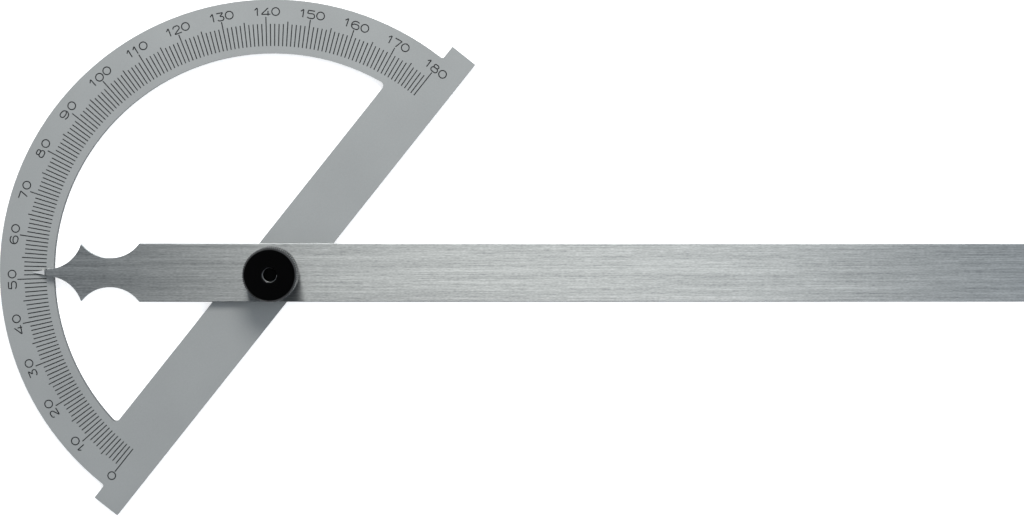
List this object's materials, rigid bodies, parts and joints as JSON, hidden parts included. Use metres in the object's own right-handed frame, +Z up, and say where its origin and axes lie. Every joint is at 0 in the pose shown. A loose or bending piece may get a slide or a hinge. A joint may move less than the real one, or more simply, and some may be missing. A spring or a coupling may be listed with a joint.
{
  "type": "angle gauge",
  "caption": "Flat steel angle gauge: a graduated half-circle dial with a base bar, and a straight blade that swings on a central stud and is held by a black knurled nut.",
  "frame": {"origin": "centre of the pivot, on the dial's underside", "axes": "+X along the blade to its square end, with the pointer at -X; +Z up through the graduated face, along the pivot"},
  "size_m": [0.2828, 0.1421, 0.0095],
  "materials": {
    "dial_chrome": "matt chrome plate, with engraved and filled graduation",
    "blade_steel": "ground and brushed along its length, with broken edges",
    "stud_black": "turned steel, blackened",
    "washer_steel": "stamped and tumbled",
    "spring_steel": "hardened and tempered",
    "nut_black": "turned and knurled steel, blackened and glossy"
  },
  "bodies": {
    "dial": {"dial_plate": "dial_chrome", "pivot_stud": "stud_black", "keyed_washer": "washer_steel"},
    "blade": {"blade": "blade_steel"},
    "spring": {"spring_washer": "spring_steel"},
    "nut": {"lock_nut": "nut_black"}
  },
  "joints": [
    {"name": "blade_swing", "type": "hinge", "parent": "dial", "child": "blade", "pos_m": [0, 0, 0.00225], "axis": [0, 0, 1], "range_deg": [-128.4, 51.6]},
    {"name": "nut_lift", "type": "slide", "parent": "dial", "child": "spring", "axis": [0, 0, 1], "range_m": [0, 0.0007]},
    {"name": "nut_turn", "type": "hinge", "parent": "spring", "child": "nut", "pos_m": [0, 0, 0.0065], "axis": [0, 0, 1], "range_deg": [0, 360]}
  ],
  "couplings": [
    {"joint": "nut_lift", "follows": "nut_turn", "m_per_rad": 0.00011141}
  ]
}
